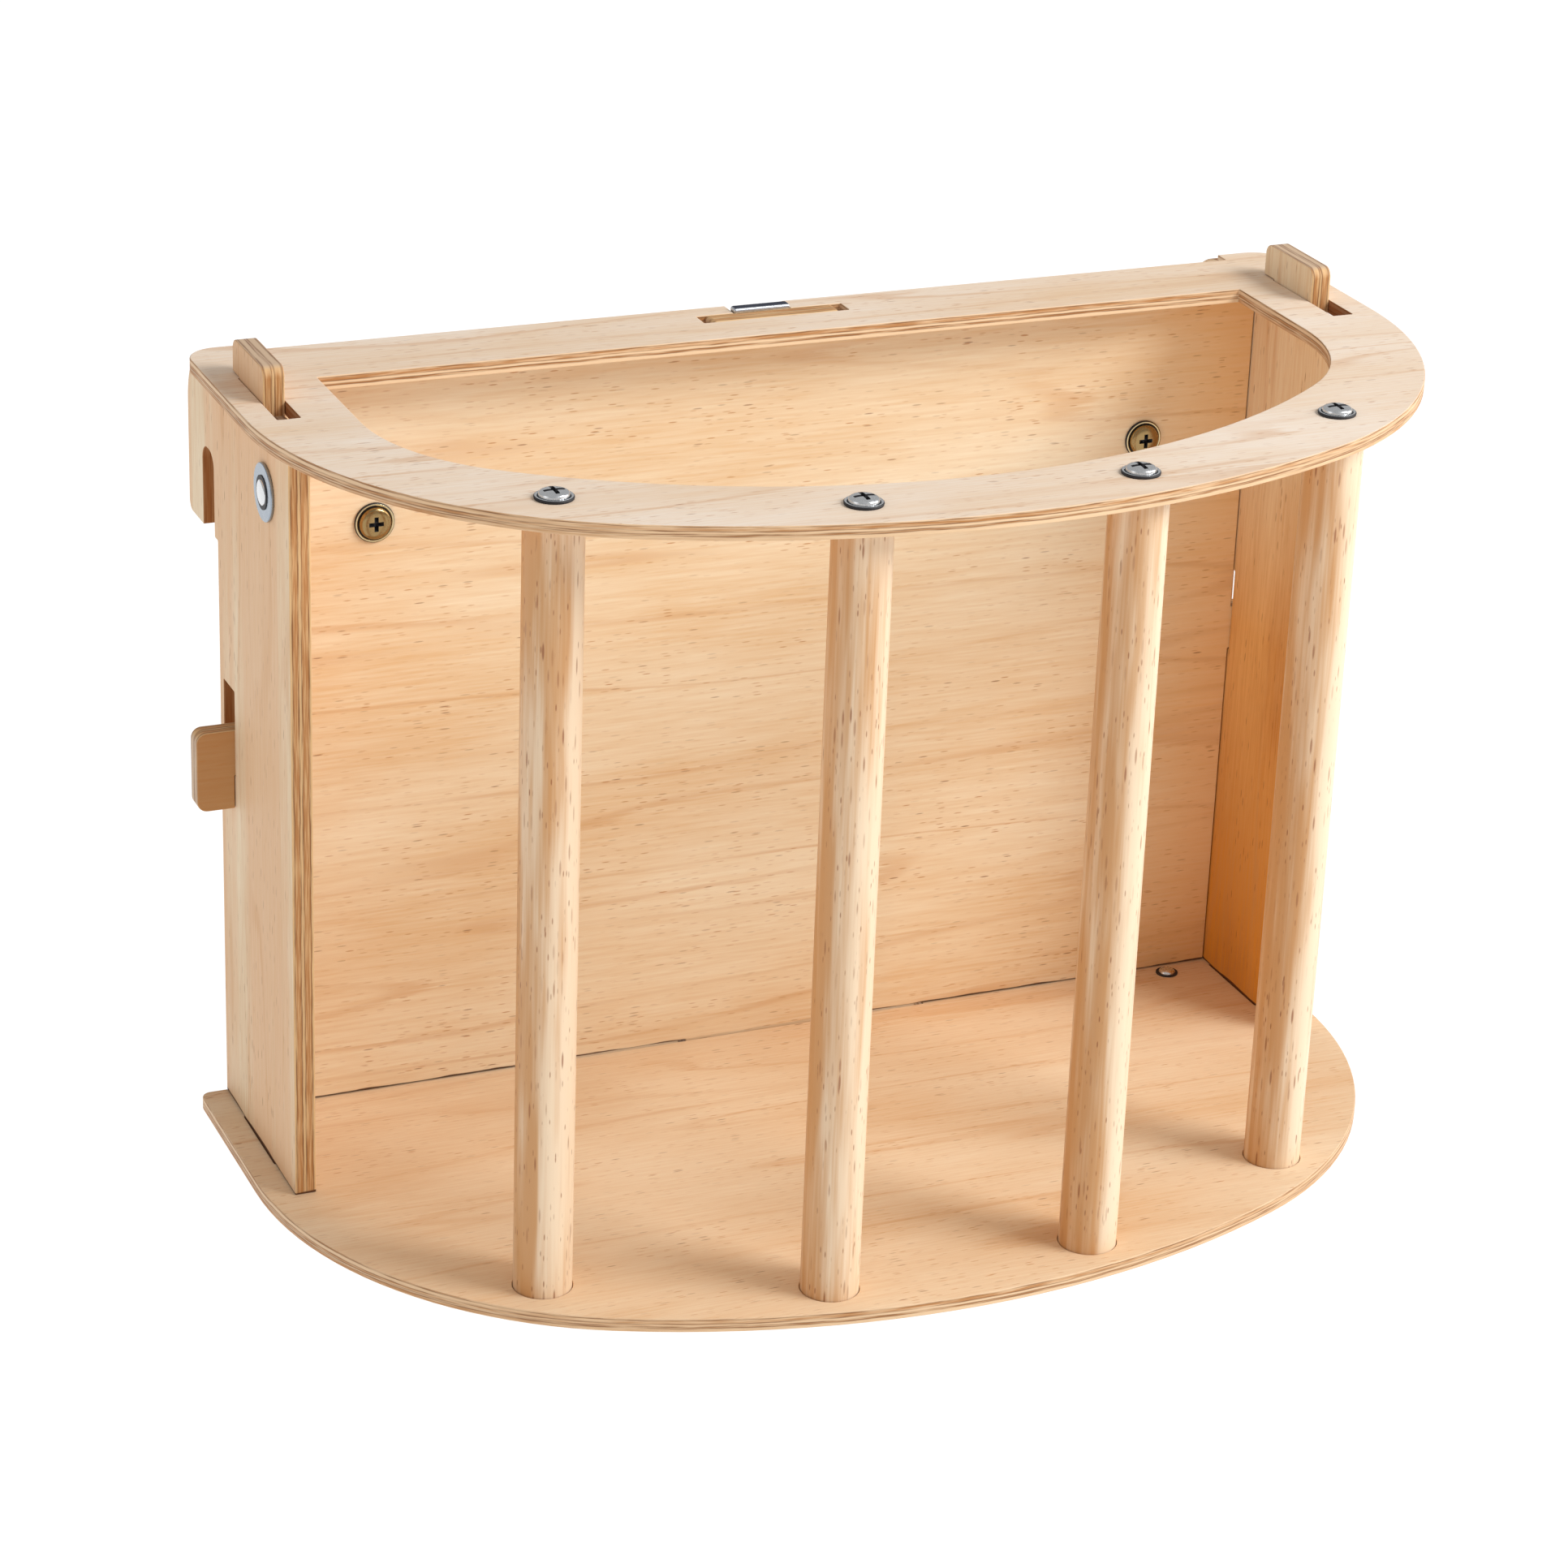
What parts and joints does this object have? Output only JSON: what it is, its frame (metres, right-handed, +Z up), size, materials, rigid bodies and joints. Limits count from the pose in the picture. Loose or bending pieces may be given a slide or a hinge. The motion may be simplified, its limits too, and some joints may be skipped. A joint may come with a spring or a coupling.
{
  "type": "hay feeder",
  "caption": "D-shaped wooden hay rack for a cage wall, open on top, with dowels across its curved front, hooks behind and wing-nut clamps.",
  "frame": {"origin": "middle of the base board's rear edge, on its underside", "axes": "+Z up through the hay, +Y towards the cage wall behind, -Y out of the slatted front, +X to the feeder's right seen from the front"},
  "size_m": [0.34, 0.208, 0.2376],
  "materials": {
    "plywood_plate": "sanded birch plywood",
    "plywood_board": "sanded pine-faced plywood",
    "dowel_wood": "turned beech, unvarnished",
    "zinc_steel": "bright zinc-plated steel",
    "yellow_zinc_steel": "yellow-passivated zinc-plated steel",
    "strap_steel": "zinc-plated flat steel"
  },
  "bodies": {
    "feeder_body": {"base_board": "plywood_plate", "top_ring": "plywood_plate", "back_board": "plywood_board", "left_side_board": "plywood_board", "left_outer_dowel": "dowel_wood", "left_inner_dowel": "dowel_wood", "left_outer_dowel_screw": "zinc_steel", "left_inner_dowel_screw": "zinc_steel", "left_clamp_screw": "yellow_zinc_steel", "left_anchor_screw": "zinc_steel", "left_anchor_washer": "zinc_steel", "right_side_board": "plywood_board", "right_outer_dowel": "dowel_wood", "right_inner_dowel": "dowel_wood", "right_outer_dowel_screw": "zinc_steel", "right_inner_dowel_screw": "zinc_steel", "right_clamp_screw": "yellow_zinc_steel", "right_anchor_screw": "zinc_steel", "right_anchor_washer": "zinc_steel", "base_screw": "zinc_steel", "hanger_strap": "strap_steel", "strap_screws": "zinc_steel"},
    "left_clamp_washer": {"left_clamp_washer": "zinc_steel"},
    "left_wing_nut": {"left_wing_nut": "zinc_steel"},
    "right_clamp_washer": {"right_clamp_washer": "zinc_steel"},
    "right_wing_nut": {"right_wing_nut": "zinc_steel"}
  },
  "joints": [
    {"name": "left_clamp_slide", "type": "slide", "parent": "feeder_body", "child": "left_clamp_washer", "axis": [0, 1, 0], "range_m": [-0.0128, 0.0048]},
    {"name": "left_wing_nut_turn", "type": "hinge", "parent": "left_clamp_washer", "child": "left_wing_nut", "pos_m": [-0.1185, 0.0062, 0.1795], "axis": [0, 1, 0], "range_deg": [-5760, 2160]},
    {"name": "right_clamp_slide", "type": "slide", "parent": "feeder_body", "child": "right_clamp_washer", "axis": [0, 1, 0], "range_m": [-0.0128, 0.0048]},
    {"name": "right_wing_nut_turn", "type": "hinge", "parent": "right_clamp_washer", "child": "right_wing_nut", "pos_m": [0.1185, 0.0062, 0.1795], "axis": [0, 1, 0], "range_deg": [-5760, 2160]}
  ],
  "couplings": [
    {"joint": "left_clamp_slide", "follows": "left_wing_nut_turn", "m_per_rad": 0.00012732},
    {"joint": "right_clamp_slide", "follows": "right_wing_nut_turn", "m_per_rad": 0.00012732}
  ]
}
